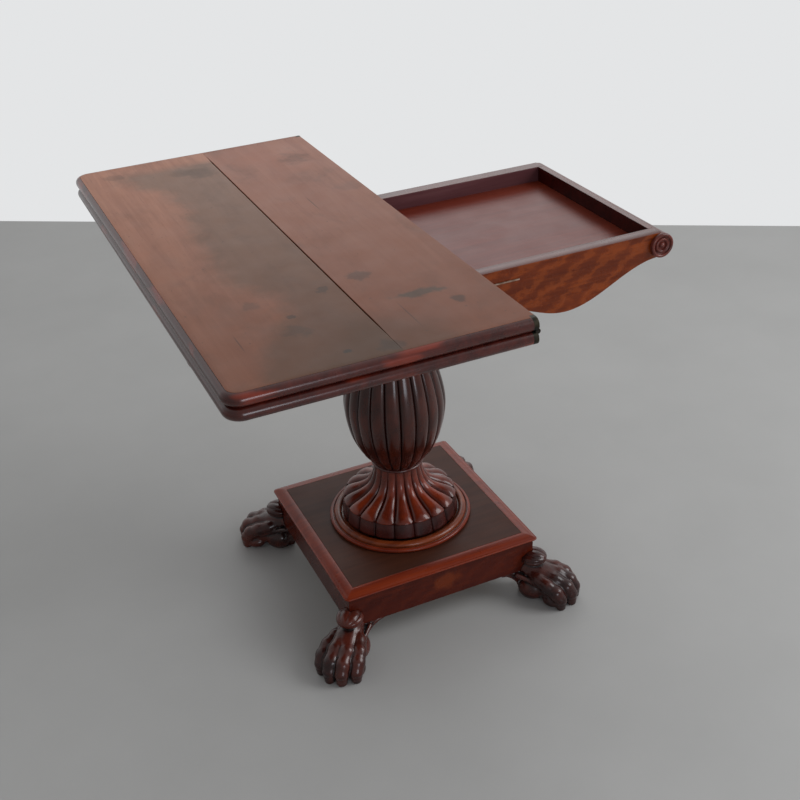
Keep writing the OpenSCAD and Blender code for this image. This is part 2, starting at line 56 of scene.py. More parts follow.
CAMERA_PLACE = (-0.7018, -1.6542, 1.4314)
CAMERA_YAW = 0.4068
CAMERA_PITCH = -0.5326
CAMERA_ROLL = 0.0499
CAMERA_LENS = 52.68
SENSOR = 36.0


def put(name, data):
    item = bpy.data.objects.new(name, data)
    bpy.context.scene.collection.objects.link(item)
    return item


def add_camera():
    data = bpy.data.cameras.new("camera")
    data.sensor_width = SENSOR
    data.lens = CAMERA_LENS
    camera = put("camera", data)
    turn = Matrix.Rotation(-CAMERA_YAW, 4, "Z") @ Matrix.Rotation(math.pi / 2 + CAMERA_PITCH, 4, "X")
    turn = turn @ Matrix.Rotation(-CAMERA_ROLL, 4, "Z")
    camera.matrix_world = Matrix.Translation(CAMERA_PLACE) @ turn
    bpy.context.scene.camera = camera


def add_area_light(name, place, target, size, power, colour):
    data = bpy.data.lights.new(name, "AREA")
    data.shape = "RECTANGLE"
    data.size, data.size_y = size
    data.energy = power
    data.color = colour
    light = put(name, data)
    light.location = place
    aim = Vector(target) - Vector(place)
    light.rotation_euler = aim.to_track_quat("-Z", "Y").to_euler()


def add_lights():
    middle = (0.0, 0.0, 0.4)
    add_area_light("window", (2.6, -1.5, 2.1), middle, (1.7, 1.9), 58, (0.96, 0.98, 1.0))
    add_area_light("far_window", (1.4, 2.9, 2.3), middle, (2.4, 1.4), 12, (0.96, 0.98, 1.0))
    add_area_light("front_window", (-0.1, -3.3, 0.85), middle, (1.1, 0.9), 18, (0.86, 0.91, 1.0))


BRIGHT_SIDE = (0.45, 0.85, 0.25)


def add_world():
    """A bright wall behind the table that dims towards the side the camera is on."""
    world = bpy.data.worlds.new("studio")
    bpy.context.scene.world = world
    world.use_nodes = True
    tree = world.node_tree
    tree.nodes.clear()
    out = tree.nodes.new("ShaderNodeOutputWorld")
    back = tree.nodes.new("ShaderNodeBackground")
    direction = tree.nodes.new("ShaderNodeTexCoord")
    facing = tree.nodes.new("ShaderNodeVectorMath")
    facing.operation = "DOT_PRODUCT"
    facing.inputs[1].default_value = BRIGHT_SIDE
    level = tree.nodes.new("ShaderNodeMapRange")
    for name, value in (("From Min", -0.35), ("From Max", 0.75), ("To Min", 0.36), ("To Max", 0.88)):
        level.inputs[name].default_value = value
    back.inputs["Color"].default_value = (0.88, 0.89, 0.90, 1.0)
    tree.links.new(direction.outputs["Generated"], facing.inputs[0])
    tree.links.new(facing.outputs["Value"], level.inputs["Value"])
    tree.links.new(level.outputs[0], back.inputs["Strength"])
    tree.links.new(back.outputs[0], out.inputs[0])
    bpy.context.scene.view_settings.view_transform = "Standard"


# ------------------------ materials

BUMP_DEPTH = 0.4 * MM
# The near-black laid into the hollows of the carving: old wax, and painted shade for the dark of the grooves
HOLLOW_WAX_AND_SHADE = (0.006, 0.004, 0.004, 1.0)


class Shader:
    """Adds nodes to one material. Each method returns the output socket of what it adds."""

    def __init__(self, name):
        self.material = bpy.data.materials.new(name)
        self.material.use_nodes = True
        self.tree = self.material.node_tree
        self.tree.nodes.clear()
        out = self.tree.nodes.new("ShaderNodeOutputMaterial")
        self.surface = self.tree.nodes.new("ShaderNodeBsdfPrincipled")
        self.tree.links.new(self.surface.outputs[0], out.inputs[0])
        self.place = self.tree.nodes.new("ShaderNodeTexCoord").outputs["Object"]

    def plug(self, node, inputs):
        for key, value in inputs.items():
            if isinstance(value, bpy.types.NodeSocket):
                self.tree.links.new(value, node.inputs[key])
            else:
                node.inputs[key].default_value = value

    def node(self, kind, inputs, **settings):
        made = self.tree.nodes.new(kind)
        for key, value in settings.items():
            setattr(made, key, value)
        self.plug(made, inputs)
        return made

    def math(self, operation, first, second=0.0, clamp=False):
        made = self.node("ShaderNodeMath", {0: first, 1: second}, operation=operation)
        made.use_clamp = clamp
        return made.outputs[0]

    def stretched(self, scale, turn=(0.0, 0.0, 0.0), place=None):
        place = place or self.place
        return self.node("ShaderNodeMapping", {"Vector": place, "Scale": scale, "Rotation": turn}).outputs[0]

    def noise(self, place, scale, detail=3.0, rough=0.5, distortion=0.0):
        made = self.node("ShaderNodeTexNoise", {"Vector": place, "Scale": scale, "Detail": detail,
                                                "Roughness": rough, "Distortion": distortion})
        return made.outputs["Fac"]

    def ramp(self, value, low, high, smooth=True):
        """0 below low, 1 above high."""
        made = self.node("ShaderNodeMapRange", {"Value": value, "From Min": low, "From Max": high})
        made.interpolation_type = "SMOOTHSTEP" if smooth else "LINEAR"
        return made.outputs[0]

    def scaled(self, value, low, high):
        """A value of 0 to 1 brought to low to high."""
        return self.node("ShaderNodeMapRange", {"Value": value, "To Min": low, "To Max": high}).outputs[0]

    def mix(self, amount, first, second):
        return self.node("ShaderNodeMix", {0: amount, 6: first, 7: second}, data_type="RGBA").outputs[2]

    def tint(self, base, amount, strength, colour):
        """The base with a colour laid over it where amount is above 0, at most at a strength."""
        return self.mix(self.math("MULTIPLY", amount, strength), base, colour)

    def axis(self, name):
        return self.node("ShaderNodeSeparateXYZ", {0: self.place}).outputs[name]

    def curve(self, value, points):
        """A smooth curve through (in, out) points, all within 0 to 1."""
        made = self.node("ShaderNodeFloatCurve", {"Value": value})
        line = made.mapping.curves[0]
        line.points[0].location = points[0]
        line.points[1].location = points[-1]
        for point in points[1:-1]:
            line.points.new(*point)
        made.mapping.update()
        return made.outputs[0]

    def blotch(self, centre, radii, ragged=0.35):
        """1 at a spot in the object's own space, fading to 0 at its ragged edge."""
        away = self.node("ShaderNodeVectorMath", {0: self.place, 1: centre}, operation="SUBTRACT").outputs[0]
        scale = tuple(1.0 / r for r in radii)
        away = self.node("ShaderNodeVectorMath", {0: away, 1: scale}, operation="MULTIPLY").outputs[0]
        far = self.node("ShaderNodeVectorMath", {0: away}, operation="LENGTH").outputs["Value"]
        wobble = self.noise(self.place, 0.7 / min(radii), 4.0, 0.6)
        far = self.math("ADD", far, self.scaled(wobble, -ragged, ragged))
        return self.math("SUBTRACT", 1.0, self.ramp(far, 0.45, 1.1))

    def finish(self, colour, rough, height, bump, coat=0.0, coat_rough=0.1, metallic=0.0, specular=0.5):
        relief = self.node("ShaderNodeBump", {"Height": height, "Strength": bump, "Distance": BUMP_DEPTH})
        self.plug(self.surface, {"Base Color": colour, "Roughness": rough, "Normal": relief.outputs[0],
                                 "Metallic": metallic, "Specular IOR Level": specular, "Coat Weight": coat,
                                 "Coat Roughness": coat_rough})
        return self.material


def tone(red, green, blue):
    """A display colour, 0 to 255, as the linear colour that shaders take."""
    parts = []
    for level in (red, green, blue):
        level = level / 255
        parts.append(level / 12.92 if level <= 0.04045 else ((level + 0.055) / 1.055) ** 2.4)
    return (*parts, 1.0)


GRAIN_TURN = {"x": (0.0, 0.0, 0.0), "y": (0.0, 0.0, math.pi / 2), "z": (0.0, math.pi / 2, 0.0)}


def wood_layers(shader, along, tones, streaks=1.0, figure=0.0):
    """The colour and the height of wood grained along an axis, from its deep, middle and pale tones."""
    deep, middle, pale = (tone(*level) for level in tones)
    lined = shader.stretched((1.0, 1.0, 1.0), GRAIN_TURN[along])
    bands = shader.stretched((0.9, 11.0, 11.0), place=lined)
    fine = shader.stretched((3.5, 130.0, 130.0), place=lined)
    pores = shader.stretched((16.0, 420.0, 420.0), place=lined)
    band = shader.noise(bands, 3.2, 5.0, 0.55, 0.9)
    line = shader.noise(fine, 1.0, 3.0, 0.6, 0.2)
    pore = shader.ramp(shader.noise(pores, 1.0, 2.0, 0.6), 0.60, 0.74)
    colour = shader.mix(shader.ramp(band, 0.32, 0.66), deep, middle)
    colour = shader.tint(colour, shader.ramp(line, 0.45, 0.75), 0.45 * streaks, pale)
    if figure > 0.0:
        waves = {"Vector": shader.stretched((1.0, 1.0, -1.5)), "Scale": 11.0, "Distortion": 6.5,
                 "Detail": 6.0, "Detail Scale": 2.8, "Detail Roughness": 0.68}
        flame = shader.node("ShaderNodeTexWave", waves, wave_type="BANDS", bands_direction="DIAGONAL")
        colour = shader.tint(colour, shader.ramp(flame.outputs["Fac"], 0.5, 0.95), figure, pale)
        colour = shader.tint(colour, shader.ramp(flame.outputs["Fac"], 0.45, 0.05), figure, deep)
    dark = tuple(0.35 * c for c in deep[:3]) + (1.0,)
    colour = shader.tint(colour, pore, 0.5 * streaks, dark)
    height = shader.math("SUBTRACT", shader.math("MULTIPLY", line, 0.35), shader.math("MULTIPLY", pore, 0.6))
    return colour, height


def polished(shader, colour, height, rough=0.28, coat=0.1, bump=0.12, specular=0.3):
    """French polish: hand-rubbed waviness, smears in the gloss and a thin clear coat."""
    smear = shader.noise(shader.stretched((1.0, 1.0, 1.0)), 21.0, 4.0, 0.6)
    gloss = shader.math("ADD", rough, shader.scaled(smear, -0.07, 0.10))
    wave = shader.noise(shader.place, 34.0, 2.0, 0.4)
    height = shader.math("ADD", height, shader.math("MULTIPLY", wave, 1.6))
    return shader.finish(colour, gloss, height, bump, coat=coat, coat_rough=0.16, specular=specular)


def plain_wood(name, along, tones, figure=0.0, **polish):
    shader = Shader(name)
    colour, height = wood_layers(shader, along, tones, figure=figure)
    return polished(shader, colour, height, **polish)


def carved_wood(name, along, tones, worn, rough=0.22, coat=0.3):
    """Carved wood: old wax and painted shade darkening the hollows, and colour rubbed through on the crowns.
    """
    shader = Shader(name)
    colour, height = wood_layers(shader, along, tones, 0.7)
    relief = shader.node("ShaderNodeAttribute", {}, attribute_name="relief").outputs["Fac"]
    patch = shader.noise(shader.place, 17.0, 3.0, 0.6)
    rubbed = shader.math("MULTIPLY", shader.ramp(relief, 0.55, 1.0), shader.ramp(patch, 0.35, 0.7))
    colour = shader.mix(rubbed, colour, tone(*worn))
    # Painted shade: the hollows, measured by the relief, are tinted almost black for their shade as well as
    # their old wax
    wax_and_shade = shader.math("SUBTRACT", 1.0, shader.ramp(relief, 0.02, 0.42))
    colour = shader.tint(colour, wax_and_shade, 0.93, HOLLOW_WAX_AND_SHADE)
    smear = shader.noise(shader.place, 40.0, 3.0, 0.6)
    gloss = shader.math("ADD", rough, shader.scaled(smear, -0.06, 0.10))
    gloss = shader.math("ADD", gloss, shader.math("MULTIPLY", wax_and_shade, 0.3), clamp=True)
    wave = shader.noise(shader.place, 90.0, 2.0, 0.4)
    height = shader.math("ADD", height, shader.math("MULTIPLY", wave, 1.2))
    return shader.finish(colour, gloss, height, 0.15, coat=coat, coat_rough=0.14, specular=0.38)


# ------------------------ mesh helpers

BODY_OF = {node: body for body, members in frame["record"]["behaviour"]["bodies"].items() for node in members}
SLOT_OF = {entry["node"]: entry["material_slot"] for entry in frame["record"]["subparts"]}


def stand_for(nodes, name, mesh, material, crease):
    """Puts a mesh in the scene instead of some CAD nodes, on their body and with the given material. Its
    edges sharper than the crease, in degrees, are drawn as edges."""
    mesh.shade_smooth()
    mesh.set_sharp_from_angle(angle=math.radians(crease))
    mesh.materials.append(material)
    piece = put(name, mesh)
    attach(piece, BODY_OF[nodes[0]])
    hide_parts(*nodes)
    return piece


def add_piece(name, shape, material, *nodes, crease=38):
    """A piece from vertices and faces, with the relief of its vertices where it is carved."""
    verts, faces, *relief = shape
    mesh = bpy.data.meshes.new(name)
    mesh.from_pydata([tuple(v) for v in verts], [], [tuple(int(i) for i in f) for f in faces])
    mesh.validate()
    if relief:
        attribute = mesh.attributes.new("relief", "FLOAT", "POINT")
        attribute.data.foreach_set("value", np.asarray(relief[0], np.float32))
    bm = bmesh.new()
    bm.from_mesh(mesh)
    bmesh.ops.recalc_face_normals(bm, faces=bm.faces)
    bm.to_mesh(mesh)
    bm.free()
    return stand_for(nodes, name, mesh, material, crease)


def change_faces(piece, material, chosen):
    """Gives a further material to the faces of a piece that pass a test."""
    piece.data.materials.append(material)
    for face in piece.data.polygons:
        if chosen(face):
            face.material_index = len(piece.data.materials) - 1


def smooth_curve(guides, steps):
    """Points on a smooth curve through the guide points."""
    guides = np.asarray(guides, float)
    points = []
    last = len(guides) - 1
    for i in range(last):
        a, b, c, d = guides[max(i - 1, 0)], guides[i], guides[i + 1], guides[min(i + 2, last)]
        for k in range(steps):
            t = k / steps
            points.append(b + (c - a) * t / 2 + (2 * a - 5 * b + 4 * c - d) * t ** 2 / 2
                          + (3 * b - a - 3 * c + d) * t ** 3 / 2)
    points.append(guides[-1])
    return np.array(points)


def arc(centre, radius, start, end, steps):
    """Points along an arc, its angles in degrees."""
    turns = np.radians(np.linspace(start, end, steps))
    return np.column_stack([centre[0] + radius * np.cos(turns), centre[1] + radius * np.sin(turns)])


def grid_faces(rows, columns, ring=False):
    """Faces between rows of points that close on themselves, and in a ring back to the first row."""
    faces = []
    for i in range(rows if ring else rows - 1):
        ahead = (i + 1) % rows
        for j in range(columns):
            k = (j + 1) % columns
            faces.append((i * columns + j, i * columns + k, ahead * columns + k, ahead * columns + j))
    return faces


def capped_faces(rows, columns):
    """Faces between rows of points, with one face across each end."""
    ends = [tuple(range(columns)), tuple(range((rows - 1) * columns, rows * columns))]
    return grid_faces(rows, columns) + ends


def outward(profile):
    """Unit normals of a profile of (radius, height) points that climbs or falls along its length."""
    step = np.gradient(profile, axis=0)
    normal = np.column_stack([step[:, 1], -step[:, 0]])
    return normal / np.maximum(np.linalg.norm(normal, axis=1, keepdims=True), 1e-9)


def lobe_angles(lobes, samples, first):
    """Angles round the axis, closer together near the grooves, and their places across a lobe, -1 to 1."""
    across = np.sin(np.linspace(-math.pi / 2, math.pi / 2, samples + 1)[:-1])
    lobe = np.arange(lobes)[:, None]
    turns = first + (lobe + (across + 1) / 2) * 2 * math.pi / lobes
    return turns.ravel(), np.tile(across, lobes)


def lobed_surface(profile, depths, powers, lobes, samples, first):
    """A turned shape with convex lobes over its profile: vertices, faces and relief from groove to crown.
    A power of 2 makes round lobes, and a higher one flat faces parted by V grooves."""
    normal = outward(profile)
    turns, across = lobe_angles(lobes, samples, first)
    power = np.broadcast_to(powers, len(profile))[:, None]
    hollow = 1 - (1 - np.abs(across)[None, :] ** power) ** (1 / power)
    radius = profile[:, 0:1] - normal[:, 0:1] * depths[:, None] * hollow
    height = profile[:, 1:2] - normal[:, 1:2] * depths[:, None] * hollow
    verts = np.stack([radius * np.cos(turns), radius * np.sin(turns), height], axis=-1).reshape(-1, 3)
    relief = np.clip(1 - hollow * np.minimum(depths[:, None] / (1.5 * MM), 1.0), 0, 1)
    return verts, capped_faces(len(profile), len(turns)), relief.reshape(-1)


def turned(profile, segments, ring=False):
    """A shape turned from (radius, height) points: a solid closed at both ends, or a ring."""
    turns = np.linspace(0, 2 * math.pi, segments, endpoint=False)
    verts = np.stack([np.outer(profile[:, 0], np.cos(turns)), np.outer(profile[:, 0], np.sin(turns)),
                      np.repeat(profile[:, 1:2], segments, axis=1)], axis=-1).reshape(-1, 3)
    if ring:
        return verts, grid_faces(len(profile), segments, ring=True)
    return verts, capped_faces(len(profile), segments)


def swept(path, outwards, section):
    """A closed section of (outward, height) points carried along a level path."""
    verts = []
    for point, normal in zip(path, outwards):
        for out, height in section:
            verts.append((point[0] + normal[0] * out, point[1] + normal[1] * out, height))
    return verts, capped_faces(len(path), len(section))


EASE = 0.9 * MM


def eased(node, material):
    """A copy of a CAD node with its edges eased, which stands for the node."""
    mesh = frame["nodes"][node].data.copy()
    mesh.name = node + "_wood"
    mesh.materials.clear()
    bm = bmesh.new()
    bm.from_mesh(mesh)
    bmesh.ops.remove_doubles(bm, verts=bm.verts, dist=0.01 * MM)
    bmesh.ops.dissolve_limit(bm, angle_limit=math.radians(1.5), verts=bm.verts, edges=bm.edges)
    sharp = [e for e in bm.edges if len(e.link_faces) == 2 and e.calc_face_angle() > math.radians(35)]
    bmesh.ops.bevel(bm, geom=sharp, offset=EASE, segments=2, profile=0.5, affect="EDGES", clamp_overlap=True)
    bm.to_mesh(mesh)
    bm.free()
    piece = stand_for([node], node + "_wood", mesh, material, 40)
    normals = piece.modifiers.new("normals", "WEIGHTED_NORMAL")
    normals.keep_sharp = True
    return piece


# ------------------------ signed distances for the carving

def ball(p, centre, radii):
    away = p - np.array(centre, float)
    radii = np.array(radii, float)
    near = np.linalg.norm(away / radii, axis=-1)
    slope = np.linalg.norm(away / radii ** 2, axis=-1)
    return near * (near - 1) / np.maximum(slope, 1e-9)


def limb(p, start, end, start_r, end_r):
    """A rounded rod whose radius changes evenly from one end to the other."""
    start = np.array(start, float)
    span = np.array(end, float) - start
    t = np.clip((p - start) @ span / (span @ span), 0, 1)
    return np.linalg.norm(p - start - t[..., None] * span, axis=-1) - (start_r + (end_r - start_r) * t)


def joined(a, b, width):
    """The union of two distances, filleted over a width."""
    t = np.clip(0.5 + 0.5 * (b - a) / width, 0, 1)
    return b + (a - b) * t - width * t * (1 - t)


def chain(p, knots, width):
    """Limbs through knots of (x, y, z, radius), filleted into one finger."""
    made = None
    for a, b in zip(knots[:-1], knots[1:]):
        part = limb(p, a[:3], b[:3], a[3], b[3])
        made = part if made is None else joined(made, part, width)
    return made


def surface_nets(field, low, step):
    """A quad mesh of the zero surface of a sampled distance field that is negative inside."""
    inside = field < 0
    shape = np.array(field.shape) - 1
    corners = [(i, j, k) for i in (0, 1) for j in (0, 1) for k in (0, 1)]
    count = sum(inside[i:shape[0] + i, j:shape[1] + j, k:shape[2] + k].astype(int) for i, j, k in corners)
    active = (count > 0) & (count < 8)
    index = -np.ones(active.shape, int)
    index[active] = np.arange(active.sum())
    cells = np.argwhere(active)
    total = np.zeros((len(cells), 3))
    hits = np.zeros(len(cells))
    for a in corners:
        for b in corners:
            if sum(b) - sum(a) != 1 or any(q < p for p, q in zip(a, b)):
                continue
            fa = field[tuple((cells + a).T)]
            fb = field[tuple((cells + b).T)]
            crossing = (fa < 0) != (fb < 0)
            t = np.where(crossing, fa / np.where(crossing, fa - fb, 1.0), 0.0)
            total += crossing[:, None] * (np.array(a) + t[:, None] * (np.array(b) - np.array(a)))
            hits += crossing
    verts = np.array(low) + (cells + total / hits[:, None]) * step
    faces = []
    for axis in range(3):
        u, v = np.eye(3, dtype=int)[(axis + 1) % 3], np.eye(3, dtype=int)[(axis + 2) % 3]
        here = np.take(inside, range(field.shape[axis] - 1), axis)
        there = np.take(inside, range(1, field.shape[axis]), axis)
        nodes = np.argwhere(here != there)
        ring = [index[tuple((nodes - back).T)] for back in (0 * u, u, u + v, v)]
        quads = np.stack(ring, axis=1)
        flip = ~here[tuple(nodes.T)]
        quads[flip] = quads[flip][:, ::-1]
        faces.extend(quads.tolist())
    return verts, faces


def carved(distance, low, high, step, look=5.0):
    """Meshes a distance function, draws the vertices onto it and measures the relief around each."""
    axes = [np.arange(a, b + step, step) for a, b in zip(low, high)]
    grid = np.stack(np.meshgrid(*axes, indexing="ij"), axis=-1)
    verts, faces = surface_nets(distance(grid), low, step)
    slope = None
    for _ in range(3):
        slope = np.stack([distance(verts + e) - distance(verts - e) for e in np.eye(3) * 0.2], axis=-1) / 0.4
        size = np.maximum((slope ** 2).sum(-1), 0.25)
        verts = verts - (distance(verts) / size)[:, None] * slope
    normal = slope / np.maximum(np.linalg.norm(slope, axis=-1, keepdims=True), 1e-9)
    relief = np.clip(distance(verts + normal * look) / look, 0, 1)
    return verts, faces, relief


# ------------------------ leaves

BEAD_INSET = 8.6 * MM
CORNER_R = 26 * MM
# How many faces of the section, from its first point, lie in the flat of the leaf
FLAT_FACES = 2


def leaf_limits(leaf):
    """Where a leaf's edging runs: its bead side, its two ends, its hinge end and its levels."""
    long_low, long_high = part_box(leaf + "_edging_long")
    near_low, near_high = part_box(leaf + "_edging_near")
    _, far_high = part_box(leaf + "_edging_far")
    return {"left": long_low.x, "near": near_low.y, "far": far_high.y, "cap": near_high.x,
            "bottom": long_low.z, "top": long_high.z, "width": near_high.y - near_low.y}


def edging_path(limits, radius):
    """The leaf's outer outline from the near hinge cap round to the far one, with its outward normals."""
    left, near, far = limits["left"], limits["near"], limits["far"]
    turn = np.linspace(0, math.pi / 2, 13)
    end = np.linspace(limits["cap"], left + radius, 9)[:-1]
    side = np.linspace(near + radius, far - radius, 17)[1:-1]
    near_turn = np.column_stack([-np.sin(turn), -np.cos(turn)])
    far_turn = np.column_stack([-np.cos(turn), np.sin(turn)])
    points = np.vstack([np.column_stack([end, np.full(len(end), near)]),
                        near_turn * radius + (left + radius, near + radius),
                        np.column_stack([np.full(len(side), left), side]),
                        far_turn * radius + (left + radius, far - radius),
                        np.column_stack([end[::-1], np.full(len(end), far)])])
    normals = np.vstack([np.tile((0.0, -1.0), (len(end), 1)), near_turn, np.tile((-1.0, 0.0), (len(side), 1)),
                         far_turn, np.tile((0.0, 1.0), (len(end), 1))])
    return points, normals


def edging_section(limits):
    """The bullnose with the small quirk that parts it from the flat of the leaf."""
    bottom, top = limits["bottom"], limits["top"]
    nose = (top - bottom) / 2
    width = limits["width"]
    flat = [(-width, top), (-BEAD_INSET - 0.9 * MM, top), (-BEAD_INSET - 0.4 * MM, top - 0.1 * MM)]
    quirk = [(-BEAD_INSET, top - 0.75 * MM)]
    round_nose = arc((-nose, bottom + nose), nose, 80, -90, 22)
    return flat + quirk + [tuple(p) for p in round_nose] + [(-width, bottom)]


def make_edging(leaf, bead, flat_wood):
    limits = leaf_limits(leaf)
    path, normals = edging_path(limits, CORNER_R)
    section = edging_section(limits)
    piece = add_piece(leaf + "_edging", swept(path, normals, section), bead, leaf + "_edging_long",
                      leaf + "_edging_near", leaf + "_edging_far")
    columns = len(section)
    caps = (len(path) - 1) * columns
    change_faces(piece, flat_wood, lambda face: face.index < caps and face.index % columns < FLAT_FACES)


def plank(node, outline, bottom, top, ease, material, place=None):
    """A board from a plan outline, counter-clockwise, with its top and bottom edges eased."""
    outline = np.asarray(outline, float)
    ahead = np.roll(outline, -1, axis=0) - outline
    back = outline - np.roll(outline, 1, axis=0)
    ahead = ahead / np.linalg.norm(ahead, axis=1, keepdims=True)
    back = back / np.linalg.norm(back, axis=1, keepdims=True)
    out = np.column_stack([ahead[:, 1] + back[:, 1], -ahead[:, 0] - back[:, 0]])
    out = out / (1 + (ahead * back).sum(1))[:, None]
    ease = np.broadcast_to(ease, len(outline))
    rings = []
    for inset, drop in ((1.0, 0.0), (0.3, 0.3), (0.0, 1.0)):
        rings.append(np.column_stack([outline - out * (ease * inset)[:, None], top - ease * drop]))
    for inset, drop in ((0.0, 1.0), (0.3, 0.3), (1.0, 0.0)):
        rings.append(np.column_stack([outline - out * (ease * inset)[:, None], bottom + ease * drop]))
    verts = np.concatenate(rings)
    if place is not None:
        verts = place(verts)
    piece = add_piece(node + "_wood", (verts, capped_faces(len(rings), len(outline))), material, node)
    for face in piece.data.polygons:
        face.use_smooth = len(face.vertices) == 4
    return piece


HAIRLINE = 0.12 * MM
CRACK_OPEN = 0.9 * MM


def crack_line(near, far):
    """Half the width of the crack along the joint: hairline at both ends, open between."""
    ys = np.linspace(near, far, 60)
    near_end = np.clip((ys - near - 40 * MM) / (60 * MM), 0, 1)
    far_end = np.clip((far - 28 * MM - ys) / (30 * MM), 0, 1)
    return ys, HAIRLINE + CRACK_OPEN * (near_end * far_end) ** 0.7


def make_upper_boards(material):
    wide_low, wide_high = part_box("upper_board_wide")
    narrow_low, narrow_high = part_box("upper_board_narrow")
    middle = (wide_high.x + narrow_low.x) / 2
    near, far = wide_low.y, wide_high.y
    ys, half = crack_line(near, far)
    inner = 10 * MM
    left = wide_low.x
    near_corner = arc((left + inner, near + inner), inner, 180, 270, 8)
    far_corner = arc((left + inner, far - inner), inner, 90, 180, 8)
    edge = np.column_stack([middle - half, ys])
    outline = np.vstack([near_corner, edge, far_corner])
    ease = np.concatenate([np.full(8, HAIRLINE), HAIRLINE + half * 0.7, np.full(8, HAIRLINE)])
    plank("upper_board_wide", outline, wide_low.z, wide_high.z, ease, material)
    edge = np.column_stack([middle + half, ys])[::-1]
    outline = np.vstack([[(narrow_high.x, near), (narrow_high.x, far)], edge])
    ease = np.concatenate([np.full(2, 0.5 * MM), HAIRLINE + half[::-1] * 0.7])
    plank("upper_board_narrow", outline, narrow_low.z, narrow_high.z, ease, material)


# ------------------------ frieze box

def make_apron(material):
    """The apron, its lower edge taken from the frame and drawn as one smooth curve."""
    low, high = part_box("front_apron")
    points = {(round(v.co.x, 5), round(v.co.z, 5)) for v in frame["nodes"]["front_apron"].data.vertices}
    lower = np.array(sorted(p for p in points if p[1] < high.z - MM))
    lower = smooth_curve(lower, 2)
    outline = np.vstack([lower, [(high.x, high.z), (low.x, high.z)]])

    def upright(verts):
        return np.column_stack([verts[:, 0], -verts[:, 2], verts[:, 1]])

    return plank("front_apron", outline, -high.y, -low.y, EASE, material, upright)


def face_with(piece, material, direction):
    """Gives a material to the faces of a piece that look one way."""
    change_faces(piece, material, lambda face: face.normal.dot(Vector(direction)) > 0.9)


def make_roundel(node, material):
    low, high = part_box(node)
    centre = (low + high) / 2
    radius = (high.x - low.x) / 2
    proud = high.y - low.y
    face = 0.42 * proud
    ring = 2.7 * MM
    bead = 1.9 * MM
    ring_r = radius - ring
    bead_r = 0.5 * radius
    profile = np.vstack([
        [(radius - 0.6 * MM, 0.0), (radius, 0.6 * MM)],
        arc((ring_r, proud - ring - 0.6 * MM), ring, 0, 200, 12),
        [(ring_r - 3.6 * MM, face), (bead_r + 2.6 * MM, face - 0.6 * MM)],
        arc((bead_r, face + 0.6 * MM), bead, 10, 190, 9),
        [(bead_r - 2.8 * MM, face - 1.2 * MM), (5.4 * MM, face - 0.9 * MM), (4.9 * MM, face + 0.2 * MM)],
        arc((0.0, face - 1.0 * MM), 5.0 * MM, 22, 82, 7)])
    verts, faces = turned(profile, 64)
    verts = np.column_stack([centre.x + verts[:, 0], high.y - verts[:, 2], centre.z + verts[:, 1]])
    add_piece(node + "_turning", (verts, faces), material, node)


# ------------------------ column

# The lobes are turned so that the grooves lie as they do from the camera
VIEW_TURN = math.atan2(CAMERA_PLACE[1], CAMERA_PLACE[0])
VASE_LOBES = 20
VASE_GROOVE = 0.082
FOOT_LOBES = 18


def make_vase(material):
    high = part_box("column_vase")[1]
    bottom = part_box("column_neck_ring")[1].z
    guides = np.array([[0.505, 0.0], [0.62, 0.045], [0.75, 0.1], [0.912, 0.214], [1.0, 0.368],
                       [0.956, 0.503], [0.813, 0.658], [0.626, 0.816], [0.495, 0.929], [0.451, 1.0]])
    profile = smooth_curve(guides * (high.x, high.z - bottom) + (0.0, bottom), 12)
    shape = lobed_surface(profile, VASE_GROOVE * profile[:, 0], 2.4, VASE_LOBES, 16,
                          VIEW_TURN + math.radians(5.8))
    add_piece("column_vase_carving", shape, material, "column_vase", crease=80)


def make_column_foot(material, drum_material):
    """The spreading foot: lobes that run down to the rim, and a drum below it jointed in line with them."""
    low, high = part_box("column_foot")
    rim_z = low.z + 29 * MM
    drum_r = high.x - 1.0 * MM
    joint = 4.4 * MM
    scallop = 5.2 * MM
    drum = smooth_curve([(drum_r, low.z, joint), (drum_r - 2.8 * MM, low.z + 15 * MM, joint),
                         (drum_r - 5.6 * MM, rim_z - 2.4 * MM, joint)], 6)
    edge = np.array([(drum_r - 4.6 * MM, rim_z - 2.1 * MM, scallop),
                     (drum_r - 3.2 * MM, rim_z - 1.6 * MM, scallop),
                     (drum_r - 2.9 * MM, rim_z - 0.6 * MM, scallop),
                     (drum_r - 3.3 * MM, rim_z + 0.6 * MM, scallop)])
    crown = [(98, 36.5, 8.6), (89, 41.5, 9.8), (74, 47.5, 9.6), (60, 56, 8.0), (50.5, 69, 5.6),
             (45.5, 85, 3.4)]
    crown = [(radius * MM, low.z + height * MM, depth * MM) for radius, height, depth in crown]
    top = smooth_curve([(drum_r - 5.0 * MM, rim_z + 2.6 * MM, 6.2 * MM), *crown,
                        (43.5 * MM, high.z, 2.4 * MM)], 8)
    course = np.vstack([drum, edge, top])
    powers = np.where(np.arange(len(course)) < len(drum), 3.0, 2.0)
    shape = lobed_surface(course[:, :2], course[:, 2], powers, FOOT_LOBES, 18,
                          VIEW_TURN + math.radians(13.2))
    piece = add_piece("column_foot_carving", shape, material, "column_foot", crease=60)
    change_faces(piece, drum_material, lambda face: face.center.z < rim_z - 2.3 * MM)


def make_neck_ring(material):
    low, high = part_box("column_neck_ring")
    half = (high.z - low.z) / 2
    profile = np.vstack([[(high.x - 6 * MM, low.z)], arc((high.x - half, low.z + half), half, -80, 80, 12),
                         [(high.x - 6 * MM, high.z)]])
    add_piece("column_neck_turning", turned(profile, 128), material, "column_neck_ring")


